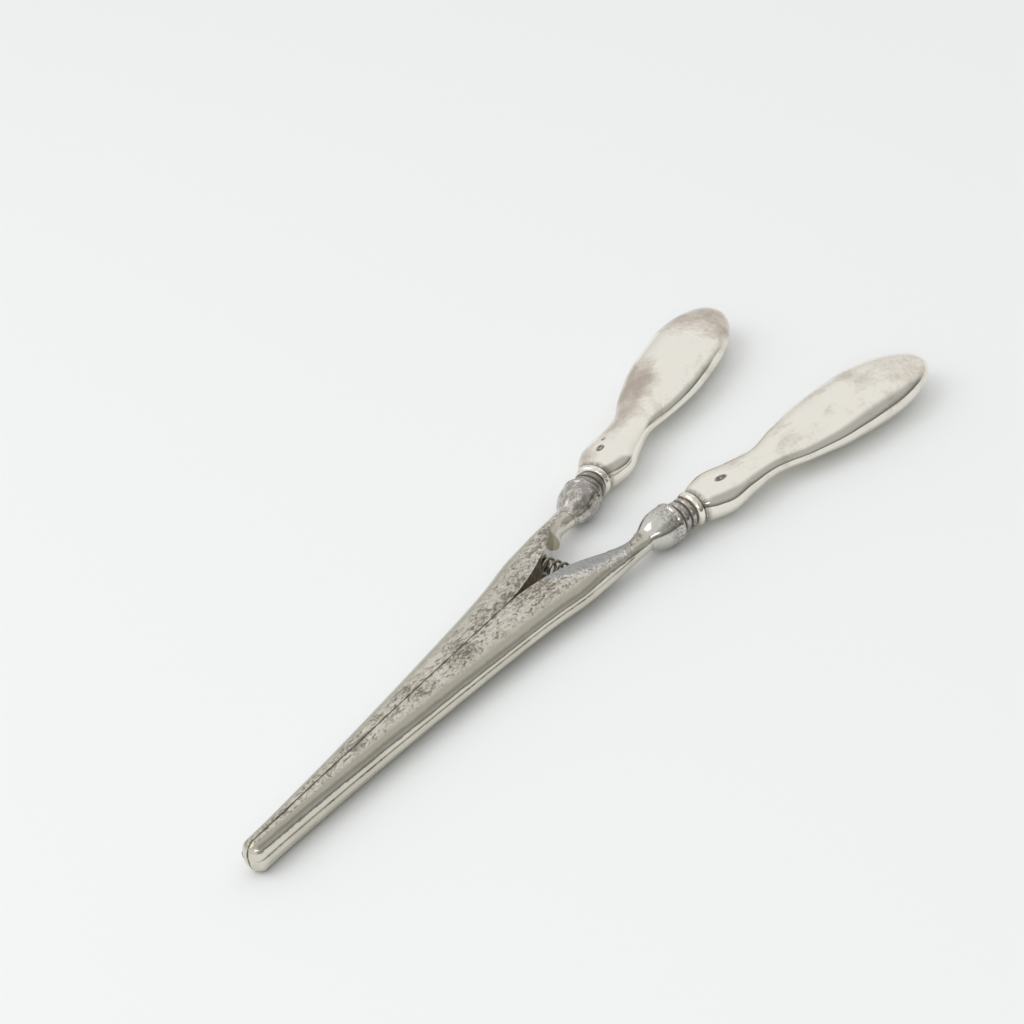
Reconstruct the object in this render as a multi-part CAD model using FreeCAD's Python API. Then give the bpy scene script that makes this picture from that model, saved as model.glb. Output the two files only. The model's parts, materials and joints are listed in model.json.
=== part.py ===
import FreeCAD, Part
import math
import os

# A pair of sprung glove stretchers: two nickel-plated steel limbs hinged where their jaws
# part, a coil spring that keeps the jaws shut, and a hollow silver handle on each limb.
# Squeezing the handles opens the jaws.
#
# Bench frame, in mm: X runs from the jaws to the handles, Y points to the left limb, Z is
# up, z = 0 is the plane of both limbs and y = 0 is the seam between the jaws.
# The finished pair is laid down on z = 0, nose low, because the handles are its thickest part.

# Jaws and arms
JAW_LENGTH = 79.8          # from the bench origin to the blunt nose
NOSE_LENGTH = 2.3          # the rounded end of the nose
SEAM_CLEARANCE = 0.05      # from each jaw's flat face to the seam plane
FORK_START = 2.5           # where the two flat faces begin to part
FORK_MIDDLE = (14.5, 2.1)  # each arm's inner face curves away from the seam through these
FORK_END = (28.5, 8.3)
EDGE_LEDGE = 0.28          # how far the flat edge band stands out from the domes
DOME_POWER = 2.2           # 2 is an ellipse, more is fuller

# Hinge
PIN_X = 4.0
PIN_Y = -3.2               # the pin sits in the right limb, beside the seam
PIN_RADIUS = 1.2
TONGUE_RADIUS = 2.7
TONGUE_HALF_THICKNESS = 1.5
HINGE_CLEARANCE = 0.05
OPENING_ANGLE = 15.0       # the handles meet a little after this

# Spring
SPRING_X = 20.5
SPRING_HALF_LENGTH = 5.95
SPRING_MEAN_RADIUS = 1.8
SPRING_WIRE_RADIUS = 0.36
SPRING_TURNS = 7
SEAT_RADIUS = 2.35
SEAT_DEPTH_Y = 6.0

# Bolster, neck and handle, measured along the handle's own axis from the bolster's rim
RIM_X = 45.8
RIM_Y = 12.1
HANDLE_ANGLE = 12.1        # degrees from the long axis
TRUMPET_START = -9.6
TRUMPET_ROOT_RADIUS = 2.42
TRUMPET_FLARE = ((-7.2, 3.35), (-4.6, 4.4))
ARM_END_S = -7.3           # the arm runs on inside the trumpet
ARM_END_RADIUS = 2.28
RIM_RADIUS = 4.75
NECK_RADIUS = 3.3
NECK_BEADS = ((0.9, 2.8), (3.0, 4.3))           # each bead's start and end
BEAD_RISE = 0.5
FERRULE_START = 4.7
FERRULE_END = 6.7
FERRULE_RADIUS = 4.25
HANDLE_START = FERRULE_END
HANDLE_MOUTH_RADIUS = 3.85
HANDLE_SWELL_S = 61.2
HANDLE_SWELL_HALF_WIDTH = 9.8
HANDLE_SWELL_HALF_HEIGHT = 5.4
HANDLE_END = 82.1
# distance along the axis, half width, half height: an oval that starts round at the mouth
HANDLE_STATIONS = [
    (HANDLE_START, HANDLE_MOUTH_RADIUS, HANDLE_MOUTH_RADIUS),
    (9.2, 5.3, 4.35),
    (14.0, 6.6, 4.6),
    (21.0, 5.6, 3.75),
    (29.0, 5.0, 3.15),
    (37.5, 7.3, 3.6),
    (46.5, 9.15, 4.5),
    (54.0, 9.7, 5.15),
    (HANDLE_SWELL_S, HANDLE_SWELL_HALF_WIDTH, HANDLE_SWELL_HALF_HEIGHT),
]
HANDLE_END_ANGLES = (22, 40, 55, 68, 78, 86)    # degrees round the rounded end
SHELL_THICKNESS = 0.5
TANG_END = 52.0
TANG_ROOT_RADIUS = 2.2
TANG_TIP_RADIUS = 1.2

UP = FreeCAD.Vector(0, 0, 1)
ALONG = FreeCAD.Vector(1, 0, 0)
ACROSS = FreeCAD.Vector(0, 1, 0)
ORIGIN = FreeCAD.Vector(0, 0, 0)


# Each limb is one run of sections from nose to neck. The jaw's sections are centred on the
# seam and cut flat afterwards; the arm's move out to the handle's axis and turn round.
ARM_END_X = RIM_X + ARM_END_S * math.cos(math.radians(HANDLE_ANGLE))
ARM_END_Y = RIM_Y + ARM_END_S * math.sin(math.radians(HANDLE_ANGLE))
JAW_SECTIONS = 7
NOSE_ANGLES = (24, 44, 60, 72)    # degrees round the nose's rounding
NOSE_HALF_WIDTH = 3.05
NOSE_HALF_HEIGHT = 3.6
NOSE_HALF_BAND = 0.55
FORK_HALF_WIDTH = 9.2
FORK_HALF_HEIGHT = 3.75
FORK_HALF_BAND = 0.5
# x, centre y, half width, half height, half of the edge band, yaw in degrees, roundness
ARM_STATIONS = [
    (0.0, 0.05, FORK_HALF_WIDTH, FORK_HALF_HEIGHT, FORK_HALF_BAND, 0.0, 0.0),
    (7.0, 0.8, 9.4, 3.80, 0.50, 0.5, 0.0),
    (13.5, 2.6, 8.8, 3.80, 0.55, 2.0, 0.05),
    (19.5, 5.5, 6.5, 3.65, 0.55, 4.0, 0.2),
    (25.0, 8.2, 4.2, 3.20, 0.55, 6.5, 0.45),
    (30.0, 9.9, 2.75, 2.65, 0.55, 9.0, 0.8),
    (34.0, 10.5, 2.35, 2.35, 0.55, 11.0, 1.0),
    (ARM_END_X, ARM_END_Y, ARM_END_RADIUS, ARM_END_RADIUS, 0.55, HANDLE_ANGLE, 1.0),
]


def jaw_stations():
    """The jaw's even taper from the nose back to the fork."""
    stations = []
    for step in range(JAW_SECTIONS):
        share = step / JAW_SECTIONS
        x = (NOSE_LENGTH - JAW_LENGTH) * (1 - share)
        half_width = NOSE_HALF_WIDTH + (FORK_HALF_WIDTH - NOSE_HALF_WIDTH) * share ** 1.3
        half_height = NOSE_HALF_HEIGHT + (FORK_HALF_HEIGHT - NOSE_HALF_HEIGHT) * share
        half_band = NOSE_HALF_BAND + (FORK_HALF_BAND - NOSE_HALF_BAND) * share
        stations.append((x, 0.0, half_width, half_height, half_band, 0.0, 0.0))
    return stations


def vector(x, y=0.0, z=0.0):
    return FreeCAD.Vector(x, y, z)


def smooth_edge(points, start=None, end=None):
    """One curve through the points, leaving and arriving along the given directions."""
    curve = Part.BSplineCurve()
    if start is None:
        curve.interpolate(points)
    else:
        curve.interpolate(Points=points, InitialTangent=start, FinalTangent=end)
    return curve.toShape()


def box(low, high):
    size = high.sub(low)
    return Part.makeBox(size.x, size.y, size.z, low)


def to_handle_axis(shape):
    """Move a shape that is built along X from the rim's centre onto the left handle's axis."""
    shape.rotate(ORIGIN, UP, HANDLE_ANGLE)
    shape.translate(vector(RIM_X, RIM_Y))
    return shape


def mirrored(shape):
    return shape.mirror(ORIGIN, ACROSS)


# ---------------------------------------------------------------- limbs

def section_outline(half_width, half_height, half_band, roundness):
    """Eight runs of (y, z) points: dome, ledge, edge band, ledge, and the same below.

    roundness blends the domed section into a plain circle.
    """
    band_angle = math.asin(half_band / half_height)
    ledge_angle = 0.12

    def blend(flat, angle):
        round_y = half_width * math.cos(angle)
        round_z = half_height * math.sin(angle)
        return (flat[0] * (1 - roundness) + round_y * roundness,
                flat[1] * (1 - roundness) + round_z * roundness)

    dome = []
    steps = 12
    for step in range(steps + 1):
        t = math.pi * step / steps
        c, s = math.cos(t), math.sin(t)
        y = (half_width - EDGE_LEDGE) * math.copysign(abs(c) ** (2 / DOME_POWER), c)
        z = half_band + (half_height - half_band) * abs(s) ** (2 / DOME_POWER)
        low_angle = band_angle + ledge_angle
        angle = low_angle + (math.pi - 2 * low_angle) * step / steps
        dome.append(blend((y, z), angle))

    band = []
    for step in range(5):
        share = 1 - step / 2
        band.append(blend((-half_width, half_band * share), math.pi - band_angle * share))

    def upside_down(points):
        return [(-y, -z) for y, z in points]

    left_band = band
    right_band = upside_down(band)
    lower_dome = upside_down(dome)
    return [
        dome,
        [dome[-1], left_band[0]],
        left_band,
        [left_band[-1], lower_dome[0]],
        lower_dome,
        [lower_dome[-1], right_band[0]],
        right_band,
        [right_band[-1], dome[0]],
    ]


def limb_section(x, centre_y, half_width, half_height, half_band, yaw, roundness):
    edges = []
    for run in section_outline(half_width, half_height, half_band, roundness):
        points = [vector(0, y, z) for y, z in run]
        if len(points) == 2:
            edges.append(Part.makeLine(points[0], points[1]))
        else:
            edges.append(smooth_edge(points))
    wire = Part.Wire(edges)
    wire.rotate(ORIGIN, UP, yaw)
    wire.translate(vector(x, centre_y))
    return wire


def nose_blank():
    """The rounded nose: the jaw's first section, drawn in towards the blunt end."""
    start, centre_y, half_width, half_height, half_band, yaw, roundness = jaw_stations()[0]
    sections = []
    for degrees in reversed(NOSE_ANGLES):
        turn = math.radians(degrees)
        shrink = math.cos(turn)
        sections.append(limb_section(start - NOSE_LENGTH * math.sin(turn), centre_y,
                                     half_width * shrink, half_height * shrink,
                                     half_band * shrink, yaw, roundness))
    sections.append(limb_section(*jaw_stations()[0]))
    return Part.makeLoft(sections, True, False, False, 3)


def bolster_and_tang():
    """The turned end of the arm: trumpet, rim, beaded neck and the tang inside the handle."""
    rim_start = -1.9
    points = [vector(TRUMPET_START, 0, TRUMPET_ROOT_RADIUS)]
    points += [vector(s, 0, radius) for s, radius in TRUMPET_FLARE]
    points.append(vector(rim_start, 0, RIM_RADIUS - 0.1))
    edges = [smooth_edge(points, ALONG, ALONG)]
    rim_line = [
        points[-1], vector(-1.5, 0, RIM_RADIUS - 0.1), vector(-1.25, 0, RIM_RADIUS - 0.3),
        vector(-1.0, 0, RIM_RADIUS - 0.15),
    ]
    for start, end in zip(rim_line, rim_line[1:]):
        edges.append(Part.makeLine(start, end))
    rim_back = vector(0.1, 0, RIM_RADIUS - 0.45)
    edges.append(Part.Arc(rim_line[-1], vector(-0.4, 0, RIM_RADIUS), rim_back).toShape())
    here = vector(rim_back.x, 0, NECK_RADIUS)
    edges.append(Part.makeLine(rim_back, here))
    for start, end in NECK_BEADS:
        foot = vector(start, 0, NECK_RADIUS)
        edges.append(Part.makeLine(here, foot))
        here = vector(end, 0, NECK_RADIUS)
        crown = vector((start + end) / 2, 0, NECK_RADIUS + BEAD_RISE)
        edges.append(Part.Arc(foot, crown, here).toShape())
    outline = [
        here, vector(FERRULE_START, 0, NECK_RADIUS),
        vector(FERRULE_START, 0, TANG_ROOT_RADIUS), vector(FERRULE_END, 0, TANG_ROOT_RADIUS),
        vector(TANG_END, 0, TANG_TIP_RADIUS), vector(TANG_END), vector(TRUMPET_START),
        vector(TRUMPET_START, 0, TRUMPET_ROOT_RADIUS),
    ]
    for start, end in zip(outline, outline[1:]):
        edges.append(Part.makeLine(start, end))
    face = Part.Face(Part.Wire(edges))
    return to_handle_axis(face.revolve(ORIGIN, ALONG, 360))


def fork_cutter():
    """Everything on the right of the left limb's inner face: flat at the seam, then curved."""
    reach = 30.0
    tip = vector(-JAW_LENGTH - 5, SEAM_CLEARANCE, -reach)
    start = vector(FORK_START, SEAM_CLEARANCE, -reach)
    middle = vector(FORK_MIDDLE[0], SEAM_CLEARANCE + FORK_MIDDLE[1], -reach)
    end = vector(FORK_END[0], SEAM_CLEARANCE + FORK_END[1], -reach)
    corners = [end, vector(end.x, -reach, -reach), vector(tip.x, -reach, -reach), tip, start]
    edges = [Part.Arc(start, middle, end).toShape()]
    for first, second in zip(corners, corners[1:]):
        edges.append(Part.makeLine(first, second))
    return Part.Face(Part.Wire(Part.__sortEdges__(edges))).extrude(vector(0, 0, 2 * reach))


def spring_seat():
    start = vector(SPRING_X, 0, 0)
    return Part.makeCylinder(SEAT_RADIUS, SEAT_DEPTH_Y, start, ACROSS)


def left_limb_blank():
    sections = [limb_section(*station) for station in jaw_stations() + ARM_STATIONS]
    jaw_and_arm = Part.makeLoft(sections, True, False, False, 3)
    blank = jaw_and_arm.fuse(nose_blank())
    return blank.cut(fork_cutter()).fuse(bolster_and_tang())


def pin_bore(radius):
    return Part.makeCylinder(radius, 20, vector(PIN_X, PIN_Y, -10), UP)


def tongue():
    """The left limb's hinge tongue, which reaches across the seam to the pin."""
    root_y = 2.5
    t = TONGUE_HALF_THICKNESS
    web = box(vector(PIN_X - TONGUE_RADIUS, PIN_Y, -t), vector(PIN_X + TONGUE_RADIUS, root_y, t))
    eye = Part.makeCylinder(TONGUE_RADIUS, 2 * t, vector(PIN_X, PIN_Y, -t), UP)
    return web.fuse(eye)


def tongue_slot():
    """The right limb's slot: the tongue's way as it swings through the opening angle."""
    radius = TONGUE_RADIUS + HINGE_CLEARANCE
    t = TONGUE_HALF_THICKNESS + HINGE_CLEARANCE
    reach = 8.0
    a = math.radians(OPENING_ANGLE + 1)
    pin = vector(PIN_X, PIN_Y, -t)
    swung = vector(math.cos(a), -math.sin(a)) * radius
    corners = [
        pin + vector(-radius), pin + vector(-radius, reach),
        pin + swung + vector(math.sin(a), math.cos(a)) * reach, pin + swung,
    ]
    corners.append(corners[0])
    wedge = Part.Face(Part.makePolygon(corners)).extrude(vector(0, 0, 2 * t))
    eye = Part.makeCylinder(radius, 2 * t, pin, UP)
    return wedge.fuse(eye)


def left_limb():
    limb = left_limb_blank().fuse(tongue())
    limb = limb.cut(pin_bore(PIN_RADIUS + HINGE_CLEARANCE))
    return limb.cut(spring_seat()).removeSplitter()


def right_limb():
    limb = mirrored(left_limb_blank())
    limb = limb.cut(tongue_slot()).cut(pin_bore(PIN_RADIUS))
    return limb.cut(mirrored(spring_seat())).removeSplitter()


def pivot_pin():
    """Riveted flush with the right limb's two domes."""
    return pin_bore(PIN_RADIUS).common(mirrored(left_limb_blank()))


# ---------------------------------------------------------------- spring

def coil_spring():
    pitch = 2 * (SPRING_HALF_LENGTH - SPRING_WIRE_RADIUS) / SPRING_TURNS
    height = pitch * SPRING_TURNS
    path = Part.makeHelix(pitch, height, SPRING_MEAN_RADIUS)
    profile = Part.Wire(Part.makeCircle(SPRING_WIRE_RADIUS, vector(SPRING_MEAN_RADIUS), ACROSS))
    coil = Part.Wire(path).makePipeShell([profile], True, True)
    coil.rotate(ORIGIN, ALONG, -90)
    coil.translate(vector(SPRING_X, -height / 2))
    return coil


# ---------------------------------------------------------------- handles

def handle_section(s, half_width, half_height):
    outline = Part.Ellipse(vector(s, half_width), vector(s, 0, half_height), vector(s))
    return Part.Wire(outline.toShape())


def handle_body(inset):
    """The handle's oval form, mouth to rounded end, drawn in by the inset."""
    sections = []
    for s, half_width, half_height in HANDLE_STATIONS:
        sections.append(handle_section(s, half_width - inset, half_height - inset))
    end_length = HANDLE_END - HANDLE_SWELL_S - inset
    for degrees in HANDLE_END_ANGLES:
        turn = math.radians(degrees)
        sections.append(handle_section(HANDLE_SWELL_S + end_length * math.sin(turn),
                                       (HANDLE_SWELL_HALF_WIDTH - inset) * math.cos(turn),
                                       (HANDLE_SWELL_HALF_HEIGHT - inset) * math.cos(turn)))
    return Part.makeLoft(sections, True, False, False, 3)


def ferrule():
    """The silver ring between the bolster's neck and the handle's mouth."""
    middle = (FERRULE_START + FERRULE_END) / 2
    crown = Part.Arc(vector(FERRULE_START, 0, FERRULE_RADIUS - 0.75),
                     vector(middle, 0, FERRULE_RADIUS),
                     vector(FERRULE_END, 0, FERRULE_RADIUS - 0.75)).toShape()
    edges = [crown]
    corners = [
        vector(FERRULE_END, 0, FERRULE_RADIUS - 0.75), vector(FERRULE_END, 0, TANG_ROOT_RADIUS),
        vector(FERRULE_START, 0, TANG_ROOT_RADIUS), vector(FERRULE_START, 0, FERRULE_RADIUS - 0.75),
    ]
    for start, end in zip(corners, corners[1:]):
        edges.append(Part.makeLine(start, end))
    return to_handle_axis(Part.Face(Part.Wire(edges)).revolve(ORIGIN, ALONG, 360))


def handle_shell(side):
    """One stamped half of the hollow silver handle, soldered to its twin along the sides."""
    shell = handle_body(0.0).cut(handle_body(SHELL_THICKNESS))
    reach = 2 * HANDLE_SWELL_HALF_WIDTH
    low = vector(0, -reach, min(0, side * reach))
    high = vector(HANDLE_END + reach, reach, max(0, side * reach))
    return to_handle_axis(shell.common(box(low, high)))


def handle_filling():
    """The pitch that fills the shell and grips the tang."""
    tang = Part.makeCone(TANG_ROOT_RADIUS, TANG_TIP_RADIUS, TANG_END - HANDLE_START,
                         vector(HANDLE_START), ALONG)
    return to_handle_axis(handle_body(SHELL_THICKNESS).cut(tang))


# ---------------------------------------------------------------- the pair, laid down

def build_nodes():
    nodes = {
        "left_limb": left_limb(),
        "right_limb": right_limb(),
        "pivot_pin": pivot_pin(),
        "coil_spring": coil_spring(),
    }
    side_pieces = {
        "ferrule": ferrule(),
        "handle_upper_shell": handle_shell(1),
        "handle_lower_shell": handle_shell(-1),
        "handle_filling": handle_filling(),
    }
    for name, shape in side_pieces.items():
        nodes["left_" + name] = shape
        nodes["right_" + name] = mirrored(shape)
    return nodes


def lay_down(nodes):
    """Tip the pair onto its handles and nose, with its box's bottom centre at the origin."""
    swell_x = RIM_X + HANDLE_SWELL_S * math.cos(math.radians(HANDLE_ANGLE))
    rise = HANDLE_SWELL_HALF_HEIGHT - NOSE_HALF_HEIGHT
    run = swell_x + JAW_LENGTH - NOSE_LENGTH
    tip = math.degrees(math.atan2(rise, run))
    for shape in nodes.values():
        shape.rotate(ORIGIN, ACROSS, -tip)
    bounds = Part.makeCompound(list(nodes.values())).optimalBoundingBox(False, False)
    shift = vector(-bounds.Center.x, -bounds.Center.y, -bounds.ZMin)
    for shape in nodes.values():
        shape.translate(shift)
    return tip, shift


def report(nodes, tip, shift):
    turn = FreeCAD.Rotation(ACROSS, -tip)
    pin = turn.multVec(vector(PIN_X, PIN_Y)) + shift
    axis = turn.multVec(-UP)
    print("lay-down angle %.3f deg, shift %.3f %.3f %.3f" % (tip, shift.x, shift.y, shift.z))
    print("hinge point %.4f %.4f %.4f axis %.5f %.5f %.5f"
          % (pin.x, pin.y, pin.z, axis.x, axis.y, axis.z))
    for name, shape in nodes.items():
        print("%-28s valid %s solids %d volume %.1f mm3"
              % (name, shape.isValid(), len(shape.Solids), shape.Volume))


def main():
    os.makedirs("parts", exist_ok=True)
    nodes = build_nodes()
    tip, shift = lay_down(nodes)
    for name, shape in nodes.items():
        shape.exportStep("parts/" + name + ".step")
    report(nodes, tip, shift)


main()
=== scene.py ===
import json
import math

import bpy
from mathutils import Matrix, Vector, noise


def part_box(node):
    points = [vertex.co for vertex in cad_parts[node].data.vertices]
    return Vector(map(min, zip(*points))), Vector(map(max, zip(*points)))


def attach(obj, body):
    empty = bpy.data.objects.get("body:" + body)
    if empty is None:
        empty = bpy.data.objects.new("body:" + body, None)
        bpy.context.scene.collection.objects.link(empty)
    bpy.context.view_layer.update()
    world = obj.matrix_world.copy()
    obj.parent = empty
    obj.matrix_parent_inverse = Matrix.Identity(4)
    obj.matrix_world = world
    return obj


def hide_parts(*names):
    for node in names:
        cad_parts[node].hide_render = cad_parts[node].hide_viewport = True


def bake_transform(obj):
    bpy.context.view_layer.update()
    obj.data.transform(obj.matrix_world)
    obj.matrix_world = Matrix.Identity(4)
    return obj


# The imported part's own frame, in metres: X runs to the handles, Y to the left limb, Z is up,
# and the pair lies on z = 0. Lengths named _MM are in millimetres.
MM = 0.001

# ---------------------------------------------------------------- camera
CAMERA_AZIMUTH = 47.1      # degrees from +Y towards +X, the way the camera looks
CAMERA_ELEVATION = 33.8
CAMERA_ROLL = -10.15
CAMERA_DISTANCE_MM = 473.6
CAMERA_TARGET_MM = (-1.9, 11.8, 15.9)
LENS_MM = 77.34
SENSOR_MM = 36.0

# ---------------------------------------------------------------- stage
TABLE_HALF_M = 12.0
TABLE_COLOUR = (0.95, 0.965, 0.965, 1.0)
LIGHT_DISTANCE_M = 1.1
KEY_FROM = (-0.55, 0.55, 0.9)
KEY_SIZE_M = (0.78, 0.78)
KEY_POWER_W = 2.1
LAMP_FROM = (-0.66, -0.5, 0.46)
LAMP_SIZE_M = (0.7, 0.05)
LAMP_POWER_W = 0.8
GAP_TOWARDS = (0.10, -0.995, 0.0)
TENT_LOW = (0.80, 0.79, 0.77)
TENT_HIGH = (0.95, 0.955, 0.955)
GAP_LOW = (0.13, 0.12, 0.10)
GAP_HIGH = (0.50, 0.51, 0.50)
TENT_STRENGTH = 0.91

# ---------------------------------------------------------------- handles, as the CAD has them
# distance along the handle's axis from the bolster's rim, half width, half height
HANDLE_STATIONS_MM = (
    (6.7, 3.85, 3.85), (9.2, 5.3, 4.35), (14.0, 6.6, 4.6), (21.0, 5.6, 3.75), (29.0, 5.0, 3.15),
    (37.5, 7.3, 3.6), (46.5, 9.15, 4.5), (54.0, 9.7, 5.15), (61.2, 9.8, 5.4),
)
HANDLE_END_MM = 82.1
SHELL_THICKNESS_MM = 0.5
SWELL_S_MM, SWELL_HALF_WIDTH_MM, SWELL_HALF_HEIGHT_MM = HANDLE_STATIONS_MM[-1]

# Small dents: handle, distance along, angle from the upper side towards +Y in degrees,
# length, width, depth, and whether dirt fills it
DENTS_MM = (
    ("left", 12.6, 5, 2.4, 1.5, 0.16, True), ("left", 16.6, 14, 1.4, 0.7, 0.08, True),
    ("right", 14.2, -12, 3.0, 1.4, 0.18, True), ("right", 18.6, -14, 1.2, 0.7, 0.04, False),
    ("left", 44.0, -20, 5.0, 2.6, 0.07, False), ("right", 50.0, 22, 6.0, 3.0, 0.07, False),
    ("right", 69.0, -12, 4.0, 3.0, 0.08, False), ("left", 66.0, 16, 5.0, 3.5, 0.08, False),
)

# ---------------------------------------------------------------- spring
SPRING_RADIUS_MM = 1.8
SPRING_WIRE_MM = 0.36
SPRING_HALF_LENGTH_MM = 5.9
SPRING_TURNS = 7.0
CLOSED_PITCH_WIRES = 2.15  # end turns' pitch in wire radii, so that they almost touch

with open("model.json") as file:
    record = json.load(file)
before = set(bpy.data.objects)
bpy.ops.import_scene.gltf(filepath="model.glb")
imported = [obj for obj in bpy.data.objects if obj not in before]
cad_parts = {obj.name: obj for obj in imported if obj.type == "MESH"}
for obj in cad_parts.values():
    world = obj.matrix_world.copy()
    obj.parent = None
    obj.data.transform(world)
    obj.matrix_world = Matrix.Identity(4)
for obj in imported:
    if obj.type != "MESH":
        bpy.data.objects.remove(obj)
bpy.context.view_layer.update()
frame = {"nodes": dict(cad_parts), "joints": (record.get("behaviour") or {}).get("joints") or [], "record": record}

jaw_hinge = frame["joints"][0]
HINGE = Vector(jaw_hinge["pos_m"])
LIMB_UP = -Vector(jaw_hinge["axis"]).normalized()
LEFTWARD = Vector((0.0, 1.0, 0.0))
LIMB_ALONG = LEFTWARD.cross(LIMB_UP)
GRIPS = {
    side: next(m for m in frame["record"]["mounts"] if m["name"] == side + "_grip")
    for side in ("left", "right")
}


def grip_frame(side):
    """The handle's rim point and its three axes: along, leftwards and up."""
    along = Vector(GRIPS[side]["axis"]).normalized()
    rim = Vector(GRIPS[side]["pos_m"]) - along * SWELL_S_MM * MM
    return rim, along, LIMB_UP.cross(along), LIMB_UP


# ================================================================ stage

def look_at_pair():
    azimuth = math.radians(CAMERA_AZIMUTH)
    elevation = math.radians(CAMERA_ELEVATION)
    roll = math.radians(CAMERA_ROLL)
    forward = Vector((math.sin(azimuth) * math.cos(elevation),
                      math.cos(azimuth) * math.cos(elevation),
                      -math.sin(elevation)))
    right = Vector((math.cos(azimuth), -math.sin(azimuth), 0.0))
    up = right.cross(forward)
    rolled_right = right * math.cos(roll) + up * math.sin(roll)
    rolled_up = up * math.cos(roll) - right * math.sin(roll)
    place = (Vector(CAMERA_TARGET_MM) - forward * CAMERA_DISTANCE_MM) * MM
    axes = Matrix((rolled_right, rolled_up, -forward)).transposed().to_4x4()
    data = bpy.data.cameras.new("photo_camera")
    data.lens = LENS_MM
    data.sensor_width = SENSOR_MM
    data.clip_start = 0.01
    camera = bpy.data.objects.new("photo_camera", data)
    camera.matrix_world = Matrix.Translation(place) @ axes
    bpy.context.scene.collection.objects.link(camera)
    bpy.context.scene.camera = camera


def area_light(name, direction, size, power, colour):
    """A softbox, width by height, in the given direction from the pair, facing it."""
    data = bpy.data.lights.new(name, "AREA")
    data.shape = "RECTANGLE"
    data.size, data.size_y = size
    data.energy = power
    data.color = colour
    light = bpy.data.objects.new(name, data)
    place = Vector(direction).normalized() * LIGHT_DISTANCE_M
    light.location = place
    light.rotation_euler = (-place).to_track_quat("-Z", "Y").to_euler()
    bpy.context.scene.collection.objects.link(light)


class Graph:
    """Adds nodes to one node tree and links them."""

    def __init__(self, tree):
        self.tree = tree

    def add(self, kind):
        return self.tree.nodes.new("ShaderNode" + kind)

    def put(self, socket, value):
        if isinstance(value, bpy.types.NodeSocket):
            self.tree.links.new(value, socket)
        elif isinstance(value, (tuple, Vector)) and socket.type == "RGBA":
            socket.default_value = (*value, 1.0)
        else:
            socket.default_value = value

    def vector(self, operation, a, b):
        node = self.add("VectorMath")
        node.operation = operation
        self.put(node.inputs[0], a)
        self.put(node.inputs[1], b)
        return node.outputs["Value"] if operation == "DOT_PRODUCT" else node.outputs[0]

    def calc(self, operation, a, b=0.0):
        node = self.add("Math")
        node.operation = operation
        self.put(node.inputs[0], a)
        self.put(node.inputs[1], b)
        return node.outputs[0]

    def plus(self, *values):
        total = values[0]
        for value in values[1:]:
            total = self.calc("ADD", total, value)
        return total

    def times(self, *values):
        product = values[0]
        for value in values[1:]:
            product = self.calc("MULTIPLY", product, value)
        return product

    def either(self, a, b):
        return self.calc("MAXIMUM", a, b)

    def band(self, value, low, high, out_low=0.0, out_high=1.0):
        """A smooth step from out_low at low to out_high at high; low may be above high."""
        if low > high:
            low, high, out_low, out_high = high, low, out_high, out_low
        node = self.add("MapRange")
        node.interpolation_type = "SMOOTHSTEP"
        self.put(node.inputs["Value"], value)
        node.inputs["From Min"].default_value = low
        node.inputs["From Max"].default_value = high
        node.inputs["To Min"].default_value = out_low
        node.inputs["To Max"].default_value = out_high
        return node.outputs["Result"]

    def mix(self, share, a, b):
        node = self.add("Mix")
        node.data_type = "RGBA"
        self.put(node.inputs["Factor"], share)
        self.put(node.inputs[6], a)
        self.put(node.inputs[7], b)
        return node.outputs[2]

    def lerp(self, share, a, b):
        node = self.add("Mix")
        node.data_type = "FLOAT"
        self.put(node.inputs["Factor"], share)
        self.put(node.inputs[2], a)
        self.put(node.inputs[3], b)
        return node.outputs[0]


def studio():
    """A white light tent with a grey gap low on the right, one soft key and one narrow lamp."""
    area_light("key_softbox", KEY_FROM, KEY_SIZE_M, KEY_POWER_W, (1.0, 0.99, 0.98))
    area_light("small_lamp", LAMP_FROM, LAMP_SIZE_M, LAMP_POWER_W, (1.0, 1.0, 1.0))
    world = bpy.data.worlds.new("light_tent")
    world.use_nodes = True
    bpy.context.scene.world = world
    g = Graph(world.node_tree)
    direction = g.add("TexCoord").outputs["Generated"]
    gap = g.vector("DOT_PRODUCT", direction, Vector(GAP_TOWARDS).normalized())
    height = g.vector("DOT_PRODUCT", direction, (0.0, 0.0, 1.0))
    tent = g.mix(g.band(height, 0.0, 0.5), TENT_LOW, TENT_HIGH)
    grey = g.mix(g.band(height, 0.0, 0.42), GAP_LOW, GAP_HIGH)
    colour = g.mix(g.band(gap, 0.38, 0.68), tent, grey)
    background = world.node_tree.nodes["Background"]
    g.put(background.inputs["Color"], colour)
    background.inputs["Strength"].default_value = TENT_STRENGTH
    bpy.context.scene.view_settings.view_transform = "Standard"


def table():
    half = TABLE_HALF_M
    mesh = bpy.data.meshes.new("table")
    corners = [(-half, -half, 0), (half, -half, 0), (half, half, 0), (-half, half, 0)]
    mesh.from_pydata(corners, [], [(0, 1, 2, 3)])
    top = bpy.data.objects.new("table", mesh)
    bpy.context.scene.collection.objects.link(top)
    material = bpy.data.materials.new("white_table")
    material.use_nodes = True
    shader = material.node_tree.nodes["Principled BSDF"]
    shader.inputs["Base Color"].default_value = TABLE_COLOUR
    shader.inputs["Roughness"].default_value = 0.7
    mesh.materials.append(material)


# ================================================================ materials

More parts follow.
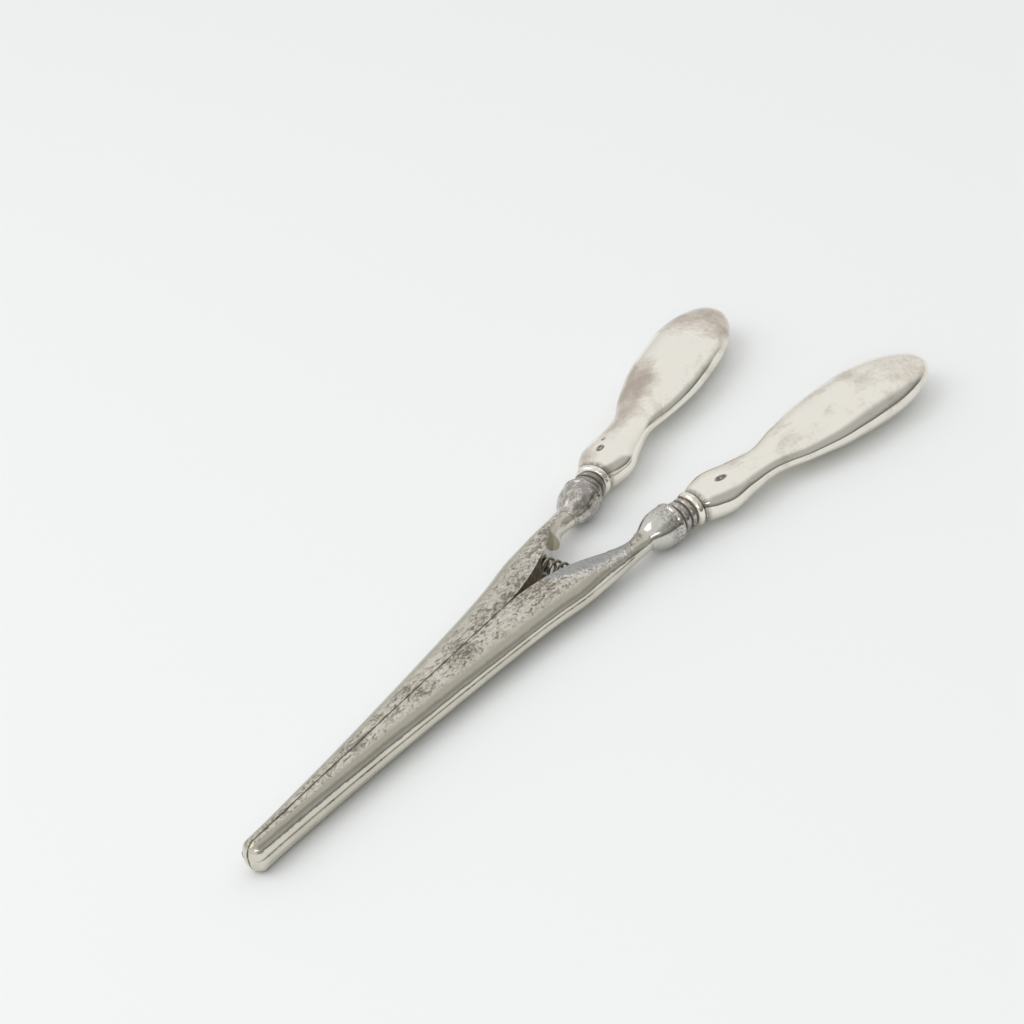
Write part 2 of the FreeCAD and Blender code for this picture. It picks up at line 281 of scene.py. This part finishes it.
class Surface(Graph):
    """One material, with noises measured in millimetres on the piece itself."""

    def __init__(self, name):
        self.material = bpy.data.materials.new(name)
        self.material.use_nodes = True
        super().__init__(self.material.node_tree)
        self.shader = self.tree.nodes["Principled BSDF"]
        coords = self.add("TexCoord")
        self.metres = coords.outputs["Object"]
        self.place = self.vector("MULTIPLY", self.metres, (1000.0, 1000.0, 1000.0))
        self.normal = coords.outputs["Normal"]

    def measure(self, origin, axis):
        """How far along an axis a point lies from an origin, in mm."""
        offset = self.vector("SUBTRACT", self.metres, tuple(origin))
        return self.calc("MULTIPLY", self.vector("DOT_PRODUCT", offset, tuple(axis)), 1000.0)

    def facing(self, axis):
        return self.vector("DOT_PRODUCT", self.normal, tuple(axis))

    def noise(self, size_mm, detail=4.0, roughness=0.5, stretch=(1, 1, 1), distortion=0.0):
        node = self.add("TexNoise")
        self.put(node.inputs["Vector"], self.vector("MULTIPLY", self.place, tuple(stretch)))
        node.inputs["Scale"].default_value = 1.0 / size_mm
        node.inputs["Detail"].default_value = detail
        node.inputs["Roughness"].default_value = roughness
        node.inputs["Distortion"].default_value = distortion
        return node.outputs["Fac"]

    def spot(self, across, along, half_across, half_along):
        """1 inside an oval round the two zero lines, falling smoothly to 0 at its edge."""
        a = self.calc("POWER", self.calc("DIVIDE", across, half_across), 2.0)
        b = self.calc("POWER", self.calc("DIVIDE", along, half_along), 2.0)
        return self.band(self.plus(a, b), 1.25, 0.55)

    def bump(self, height, depth_mm, under=None):
        node = self.add("Bump")
        node.inputs["Strength"].default_value = 1.0
        node.inputs["Distance"].default_value = depth_mm * MM
        self.put(node.inputs["Height"], height)
        if under is not None:
            self.put(node.inputs["Normal"], under)
        return node.outputs["Normal"]

    def finish(self, colour, metallic, roughness, normal):
        self.put(self.shader.inputs["Base Color"], colour)
        self.put(self.shader.inputs["Metallic"], metallic)
        self.put(self.shader.inputs["Roughness"], roughness)
        self.put(self.shader.inputs["Normal"], normal)
        return self.material


PLATE = (0.665, 0.635, 0.55)
PLATE_PALE = (0.74, 0.705, 0.63)
PLATE_WORN = (0.55, 0.515, 0.44)
FLECK = (0.30, 0.265, 0.215)
PIT = (0.185, 0.17, 0.145)
BARE_STEEL = (0.33, 0.33, 0.325)
BARE_STEEL_PALE = (0.46, 0.455, 0.44)
FLAKED_EDGE = (0.86, 0.85, 0.81)
# painted shade: the dark tone laid on the jaws' rolled-off shoulders
ROLL_OFF_SHADE = (0.39, 0.365, 0.295)
# dark brown, for painted shade in the fork and for the darkened neck groove and seam line
GRIME_AND_SHADE = (0.155, 0.115, 0.075)
BOLSTER = (0.67, 0.665, 0.61)
BOLSTER_TARNISHED = (0.33, 0.29, 0.275)
NECK_TARNISHED = (0.27, 0.265, 0.25)


def inner_edge(m, along):
    """The curve of an arm's inner face: how far it stands from the seam, in mm."""
    run = m.calc("MAXIMUM", m.plus(along, 1.5), 0.0)
    return m.plus(m.times(run, 0.0514), m.times(run, run, 0.0103))


def worn_nickel(side):
    """Old nickel plate on steel: pitted along the top, bare and flaking beside the fork."""
    m = Surface("worn_nickel_" + side)
    outward = 1.0 if side == "left" else -1.0
    along = m.measure(HINGE, LIMB_ALONG)
    across = m.times(m.measure((0, 0, 0), LEFTWARD), outward)
    rim, axis, sideways, up = grip_frame(side)
    past_rim = m.measure(rim, axis)
    radius = m.calc("SQRT", m.plus(m.calc("POWER", m.measure(rim, sideways), 2.0),
                                   m.calc("POWER", m.measure(rim, up), 2.0)))
    upright = m.calc("ABSOLUTE", m.facing(LIMB_UP))
    flat_top = m.band(upright, 0.89, 0.99)
    to_seam = m.times(m.facing(LEFTWARD), -outward)
    bolster = m.band(past_rim, -10.5, -7.5)
    inner = inner_edge(m, along)
    from_inner = m.calc("SUBTRACT", across, inner)

    # worn plate, flecks and pits, in drifts that thicken beside the seam and round the fork
    drift = m.noise(7.0, 3.0, 0.6)
    flakes = m.noise(1.0, 7.0, 0.78, stretch=(0.75, 1.25, 1.0), distortion=0.9)
    dashes = m.noise(1.05, 6.0, 0.76, stretch=(0.8, 1.3, 1.0), distortion=1.0)
    near_seam = m.band(from_inner, 6.0, 0.6, 0.0, 0.040)
    near_fork = m.times(m.band(along, -34.0, 4.0), m.band(along, 36.0, 24.0), 0.030)
    wear = m.plus(m.times(drift, 0.22), near_seam, near_fork, -0.11)
    worn = m.times(m.band(m.plus(flakes, wear), 0.47, 0.60), flat_top)
    flecks = m.times(m.band(m.plus(dashes, wear), 0.535, 0.595), flat_top)
    pits = m.times(m.band(m.plus(dashes, wear), 0.60, 0.655), flat_top)

    plate = m.mix(m.band(drift, 0.35, 0.65), PLATE_PALE, PLATE)
    plate = m.mix(m.times(worn, 0.75), plate, PLATE_WORN)
    plate = m.mix(m.times(flecks, 0.85), plate, FLECK)

    # the jaws' shoulders, where the top rolls off to the arris, are smooth, and painted shade darkens them as
    # their normal tilts away from up
    rolling = m.plus(upright, m.times(drift, 0.10), -0.05)
    shoulder = m.times(m.band(rolling, 0.985, 0.90), m.band(upright, 0.50, 0.80), 0.85)
    plate = m.mix(m.times(shoulder, m.band(along, 34.0, 20.0, 0.5, 1.0)), plate, ROLL_OFF_SHADE)

    # the turned bolster is cleaner, with a speckled rim; the left one and its neck are tarnished
    speckle = m.times(m.band(m.noise(0.6, 5.0, 0.75), 0.44, 0.55),
                      m.band(past_rim, -6.0, -2.5, 0.15, 1.0))
    dirty = 0.9 if side == "left" else 0.2
    cloud = m.times(m.band(m.noise(1.5, 6.0, 0.72), 0.40, 0.56), dirty)
    turned = m.mix(m.either(cloud, m.times(speckle, 0.9)), BOLSTER, BOLSTER_TARNISHED)
    dark_neck = m.times(m.band(past_rim, 0.1, 0.4), 0.75 if side == "left" else 0.25)
    turned = m.mix(dark_neck, turned, NECK_TARNISHED)
    colour = m.mix(bolster, plate, turned)
    clear_of_rim = m.band(past_rim, -8.0, -12.0)
    pits = m.times(pits, clear_of_rim)
    flecks = m.times(flecks, clear_of_rim)

    # bare steel beside the right arm's inner edge, with pale flakes of plate at its border
    patch_width = m.times(m.band(along, 6.0, 15.0), m.band(along, 31.0, 19.0), 4.0)
    ragged = m.times(m.plus(m.noise(0.8, 6.0, 0.8, stretch=(1.5, 0.45, 1.0)), -0.5), 11.0)
    depth = m.calc("SUBTRACT", m.plus(from_inner, ragged), patch_width)
    on_right = 1.0 if side == "right" else 0.0
    bare = m.times(m.band(depth, 0.30, 0.0), m.band(patch_width, 0.3, 1.2), on_right)
    border = m.times(m.band(depth, -0.5, 0.1), m.band(depth, 1.3, 0.5), on_right)
    border = m.times(border, m.band(patch_width, 0.3, 1.2),
                     m.band(m.noise(0.5, 3.0, 0.6), 0.42, 0.55))
    colour = m.mix(border, colour, FLAKED_EDGE)
    steel = m.mix(m.band(m.noise(0.7, 6.0, 0.75), 0.38, 0.62), BARE_STEEL, BARE_STEEL_PALE)
    colour = m.mix(bare, colour, steel)
    pits = m.times(pits, m.band(bare, 0.8, 0.1))

    # painted shade on the faces that meet in the fork, with the neck's groove and a line along the seam darkened
    # too
    fork_shade = m.times(m.band(to_seam, 0.45, 0.75),
                        m.band(along, -4.0, 1.0), m.band(along, 19.5, 14.5))
    groove = m.times(m.band(radius, 3.75, 3.4), m.band(past_rim, -0.2, 0.2))
    line_width = m.band(m.noise(2.5, 4.0, 0.6), 0.35, 0.65, 0.03, 0.26)
    seam_line = m.times(m.band(m.calc("SUBTRACT", across, line_width), 0.12, 0.0),
                        m.band(along, 8.0, 0.0))
    grime_and_shade = m.either(m.either(fork_shade, m.times(groove, 0.85)), m.times(seam_line, 0.85))

    colour = m.mix(m.times(pits, 0.9), colour, PIT)
    patchy = m.band(m.noise(1.5, 4.0, 0.6), 0.2, 0.6, 0.75, 1.0)
    # paints the fork's shade, the neck's groove and the seam line dark brown
    colour = m.mix(m.times(grime_and_shade, patchy), colour, GRIME_AND_SHADE)
    dull = m.either(pits, grime_and_shade)
    metallic = m.lerp(dull, 1.0, 0.5)
    polish = m.lerp(flat_top, 0.17, m.band(drift, 0.3, 0.7, 0.27, 0.34))
    roughness = m.lerp(m.times(worn, 0.7), polish, 0.42)
    roughness = m.lerp(bolster, roughness, 0.16)
    roughness = m.lerp(dull, roughness, 0.6)
    roughness = m.lerp(bare, roughness, 0.36)
    relief = m.bump(m.calc("SUBTRACT", 1.0, m.plus(m.times(pits, 0.7), m.times(flecks, 0.3))), 0.05)
    relief = m.bump(m.times(flakes, flat_top), 0.03, relief)
    return m.finish(colour, metallic, roughness, m.bump(drift, 0.15, relief))


SILVER = (0.90, 0.865, 0.785)
TARNISH = (0.68, 0.615, 0.53)
TARNISH_DEEP = (0.49, 0.42, 0.36)
DENT_DIRT = (0.17, 0.15, 0.14)


def tarnish_cover(m, side, along, across):
    """Where each handle is handled least: how much more it has tarnished, from 0 to 1."""
    if side == "left":
        base = m.times(m.band(along, 15.0, 9.0), m.band(across, -1.0, 3.0), 0.7)
        middle = m.times(m.band(along, 14.0, 26.0), m.band(along, 58.0, 40.0))
        outer = m.band(across, -3.5, 2.5)
        end = m.times(m.band(along, 58.0, 70.0), 0.75)
        return m.either(base, m.either(m.times(middle, outer), end))
    end = m.times(m.band(along, 52.0, 62.0), m.band(along, 79.0, 70.0), 0.45)
    middle = m.times(m.band(along, 40.0, 50.0), m.band(along, 66.0, 56.0),
                     m.band(across, 1.0, 6.0), 0.4)
    return m.either(end, middle)


def old_silver(side):
    """Polished hollow silver with clouded tarnish, hairline scuffs and dirt in its dents."""
    m = Surface("old_silver_" + side)
    rim, axis, sideways, up = grip_frame(side)
    along = m.measure(rim, axis)
    across = m.measure(rim, sideways)
    upper = m.band(m.facing(up), -0.1, 0.4)

    cloud = m.noise(9.0, 4.0, 0.55)
    mottle = m.noise(2.2, 6.0, 0.7, distortion=0.5)
    cover = m.times(tarnish_cover(m, side, along, across), upper)
    heavy = m.plus(m.times(cloud, 0.6), m.times(mottle, 0.4), m.times(cover, 0.26))
    haze = m.band(heavy, 0.50, 0.72)
    core = m.band(heavy, 0.66, 0.84)
    colour = m.mix(haze, SILVER, TARNISH)
    colour = m.mix(core, colour, TARNISH_DEEP)

    at_mouth = m.band(along, 8.2, 6.9)
    dirt = m.times(at_mouth, 0.7)
    for handle, s, degrees, length, width, _, dirty in DENTS_MM:
        if handle == side and dirty:
            offset = half_width_at(s) * math.sin(math.radians(degrees))
            mark = m.spot(m.plus(across, -offset), m.plus(along, -s), width * 0.6, length * 0.6)
            dirt = m.either(dirt, m.times(mark, upper))
    broken = m.band(m.noise(0.5, 4.0, 0.6), 0.34, 0.50, 0.25, 1.0)
    colour = m.mix(m.times(dirt, broken), colour, DENT_DIRT)

    scuffs = m.noise(0.5, 3.0, 0.6, stretch=(0.2, 1.0, 1.0))
    roughness = m.lerp(haze, m.band(scuffs, 0.35, 0.75, 0.07, 0.16), 0.24)
    hammered = m.bump(m.noise(7.0, 2.0, 0.4), 0.05)
    return m.finish(colour, 1.0, roughness, m.bump(scuffs, 0.0015, hammered))


def ferrule_silver():
    m = Surface("ferrule_silver")
    cloud = m.noise(1.3, 4.0, 0.6)
    scuffs = m.noise(0.3, 3.0, 0.6)
    colour = m.mix(m.band(cloud, 0.45, 0.70), SILVER, TARNISH)
    return m.finish(colour, 1.0, m.band(scuffs, 0.3, 0.7, 0.08, 0.2), m.bump(scuffs, 0.004))


def spring_wire():
    m = Surface("spring_wire")
    rust = m.noise(0.7, 4.0, 0.7)
    rusted = m.band(rust, 0.46, 0.62)
    colour = m.mix(rusted, (0.38, 0.355, 0.31), (0.15, 0.115, 0.08))
    roughness = m.lerp(rusted, 0.28, 0.62)
    return m.finish(colour, m.lerp(rusted, 1.0, 0.4), roughness, m.bump(rust, 0.015))


def brown_pitch():
    m = Surface("brown_pitch")
    lumps = m.noise(1.2, 4.0, 0.6)
    colour = m.mix(lumps, (0.10, 0.06, 0.035), (0.16, 0.10, 0.06))
    return m.finish(colour, 0.0, m.band(lumps, 0.3, 0.7, 0.35, 0.6), m.bump(lumps, 0.05))


def give(piece, material):
    piece.data.materials.clear()
    piece.data.materials.append(material)


# ================================================================ meshes

def station_curve(column, s):
    """A smooth curve through one column of the handle's stations, flat at the swell."""
    rows = HANDLE_STATIONS_MM
    slopes = []
    for i, row in enumerate(rows):
        before, after = rows[max(i - 1, 0)], rows[min(i + 1, len(rows) - 1)]
        slopes.append((after[column] - before[column]) / (after[0] - before[0]))
    slopes[-1] = 0.0
    i = max(k for k in range(len(rows) - 1) if s >= rows[k][0] or k == 0)
    length = rows[i + 1][0] - rows[i][0]
    t = min(max((s - rows[i][0]) / length, 0.0), 1.0)
    a, b = rows[i][column], rows[i + 1][column]
    return (a * (1 + 2 * t) * (1 - t) ** 2 + slopes[i] * length * t * (1 - t) ** 2
            + b * t * t * (3 - 2 * t) - slopes[i + 1] * length * t * t * (1 - t))


def half_width_at(s):
    if s <= SWELL_S_MM:
        return station_curve(1, s)
    fall = (s - SWELL_S_MM) / (HANDLE_END_MM - SWELL_S_MM)
    return SWELL_HALF_WIDTH_MM * math.sqrt(max(1 - fall * fall, 0.0))


def half_height_at(s):
    if s <= SWELL_S_MM:
        return station_curve(2, s)
    return half_width_at(s) * SWELL_HALF_HEIGHT_MM / SWELL_HALF_WIDTH_MM


def handle_rows():
    """Distances along the handle for the mesh's rows, closer together round the end."""
    start = HANDLE_STATIONS_MM[0][0]
    steps = 170
    rows = [start + (SWELL_S_MM - start) * k / steps for k in range(steps)]
    end_steps = 54
    for k in range(end_steps):
        turn = math.pi / 2 * k / end_steps
        rows.append(SWELL_S_MM + (HANDLE_END_MM - SWELL_S_MM) * math.sin(turn))
    return rows


def dent_depth(side, s, degrees, half_width):
    depth = 0.0
    for handle, dent_s, dent_degrees, length, width, deepest, _ in DENTS_MM:
        if handle == side:
            along = (s - dent_s) / (length / 2)
            across = math.radians(degrees - dent_degrees) * half_width / (width / 2)
            depth += deepest * math.exp(-(along * along + across * across))
    return depth


def handle_half(side, upper):
    """One stamped half shell: outer skin with its dents, inner skin, and the walls between."""
    rim, axis, sideways, up = grip_frame(side)
    columns = 88
    turn_sign = 1.0 if upper else -1.0
    seam_depth_mm, seam_width_mm = 0.05, 0.22
    wobble_mm, wobbles_per_metre = 0.035, 160.0
    mouth, steady_mm = HANDLE_STATIONS_MM[0][0], 4.0

    def point(s, width, height, degrees):
        angle = math.radians(degrees)
        y = width * math.sin(angle)
        z = turn_sign * height * math.cos(angle)
        return rim + (axis * s + sideways * y + up * z) * MM

    def outer(s, degrees):
        width, height = half_width_at(s), half_height_at(s)
        sink = dent_depth(side, s, degrees, width) if upper else 0.0
        side_height = abs(height * math.cos(math.radians(degrees)))
        sink += seam_depth_mm * math.exp(-(side_height / seam_width_mm) ** 2)
        waviness = 1 + noise.noise(point(s, width, height, degrees) * wobbles_per_metre)
        sink += wobble_mm * waviness * min(1.0, (s - mouth) / steady_mm)
        shrink = max(1 - sink / max(min(width, height), 0.4), 0.5)
        return point(s, width * shrink, height * shrink, degrees)

    def inner(s, degrees):
        inner_s = min(s, HANDLE_END_MM - SHELL_THICKNESS_MM - 0.05)
        width = max(half_width_at(inner_s) - SHELL_THICKNESS_MM, 0.05)
        height = max(half_height_at(inner_s) - SHELL_THICKNESS_MM, 0.05)
        return point(inner_s, width, height, degrees)

    angles = [-90 + 180 * k / columns for k in range(columns + 1)]
    rows = handle_rows()
    inner_rows = rows[::6] + [HANDLE_END_MM - SHELL_THICKNESS_MM - 0.05]
    verts = [outer(s, a) for s in rows for a in angles]
    outer_tip = len(verts)
    verts.append(rim + axis * (HANDLE_END_MM - 0.03) * MM)
    inner_start = len(verts)
    verts += [inner(s, a) for s in inner_rows for a in angles]
    inner_tip = len(verts)
    verts.append(rim + axis * (HANDLE_END_MM - SHELL_THICKNESS_MM) * MM)

    across = columns + 1
    faces = []

    def skin(start, count, tip, flip):
        for r in range(count - 1):
            for c in range(columns):
                a = start + r * across + c
                quad = (a, a + 1, a + across + 1, a + across)
                faces.append(quad[::-1] if flip else quad)
        last = start + (count - 1) * across
        for c in range(columns):
            triangle = (last + c, last + c + 1, tip)
            faces.append(triangle[::-1] if flip else triangle)

    skin(0, len(rows), outer_tip, not upper)
    skin(inner_start, len(inner_rows), inner_tip, upper)
    for c in range(columns):
        a, b = c, inner_start + c
        quad = (a, b, b + 1, a + 1)
        faces.append(quad if upper else quad[::-1])

    def wall(column):
        outer_edge = [r * across + column for r in range(len(rows))] + [outer_tip]
        inner_edge_loop = [inner_start + r * across + column for r in range(len(inner_rows))]
        inner_edge_loop.append(inner_tip)
        loop = outer_edge + inner_edge_loop[::-1]
        flip = (column == 0) == upper
        faces.append(tuple(loop[::-1] if flip else loop))

    wall(0)
    wall(columns)
    name = side + ("_handle_upper_shell" if upper else "_handle_lower_shell")
    return add_piece(name + "_fine", verts, faces)


def add_piece(name, verts, faces):
    mesh = bpy.data.meshes.new(name)
    mesh.from_pydata([tuple(v) for v in verts], [], faces)
    mesh.validate()
    mesh.update()
    piece = bpy.data.objects.new(name, mesh)
    bpy.context.scene.collection.objects.link(piece)
    return piece


def smooth(piece, sharp_degrees=40.0):
    for face in piece.data.polygons:
        face.use_smooth = True
    piece.data.set_sharp_from_angle(angle=math.radians(sharp_degrees))


def wound_spring():
    """The coil spring, with its last turn closed up at each end."""
    low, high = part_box("coil_spring")
    centre = (Vector(low) + Vector(high)) / 2
    steps_per_turn, ring = 44, 12
    steps = int(SPRING_TURNS * steps_per_turn)
    half = (SPRING_HALF_LENGTH_MM - SPRING_WIRE_MM) * MM

    def travel(turns):
        """Where along the spring a turn lies: closed up at both ends, open between."""
        closed_pitch = CLOSED_PITCH_WIRES * SPRING_WIRE_MM * MM
        open_turns = SPRING_TURNS - 2.0
        open_pitch = (2 * half - 2 * closed_pitch) / open_turns
        if turns < 1.0:
            return -half + closed_pitch * turns
        if turns > SPRING_TURNS - 1.0:
            return half - closed_pitch * (SPRING_TURNS - turns)
        return -half + closed_pitch + open_pitch * (turns - 1.0)

    def path(step):
        turns = step / steps_per_turn
        angle = 2 * math.pi * turns
        radial = LIMB_ALONG * math.cos(angle) + LIMB_UP * math.sin(angle)
        return centre + LEFTWARD * travel(turns) + radial * SPRING_RADIUS_MM * MM, radial

    verts, faces = [], []
    for step in range(steps + 1):
        here, radial = path(step)
        ahead = path(min(step + 1, steps))[0] - path(max(step - 1, 0))[0]
        side = ahead.normalized().cross(radial)
        for k in range(ring):
            angle = 2 * math.pi * k / ring
            round_wire = radial * math.cos(angle) + side * math.sin(angle)
            verts.append(here + round_wire * SPRING_WIRE_MM * MM)
    for step in range(steps):
        for k in range(ring):
            a, b = step * ring + k, step * ring + (k + 1) % ring
            faces.append((a, b, b + ring, a + ring))
    faces.append(tuple(range(ring))[::-1])
    faces.append(tuple(steps * ring + k for k in range(ring)))
    spring = add_piece("wound_spring", verts, faces)
    smooth(spring)
    give(spring, spring_wire())
    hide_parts("coil_spring")
    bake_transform(spring)


def build():
    look_at_pair()
    studio()
    table()
    ring_silver = ferrule_silver()
    pitch = brown_pitch()
    for side in ("left", "right"):
        nickel = worn_nickel(side)
        give(frame["nodes"][side + "_limb"], nickel)
        if side == "right":  # the pin is filed flush and plated over with this limb
            give(frame["nodes"]["pivot_pin"], nickel)
        give(frame["nodes"][side + "_ferrule"], ring_silver)
        give(frame["nodes"][side + "_handle_filling"], pitch)
        silver = old_silver(side)
        for upper in (True, False):
            half = handle_half(side, upper)
            smooth(half)
            give(half, silver)
            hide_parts(half.name.replace("_fine", ""))
            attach(half, side + "_half")
    wound_spring()


build()
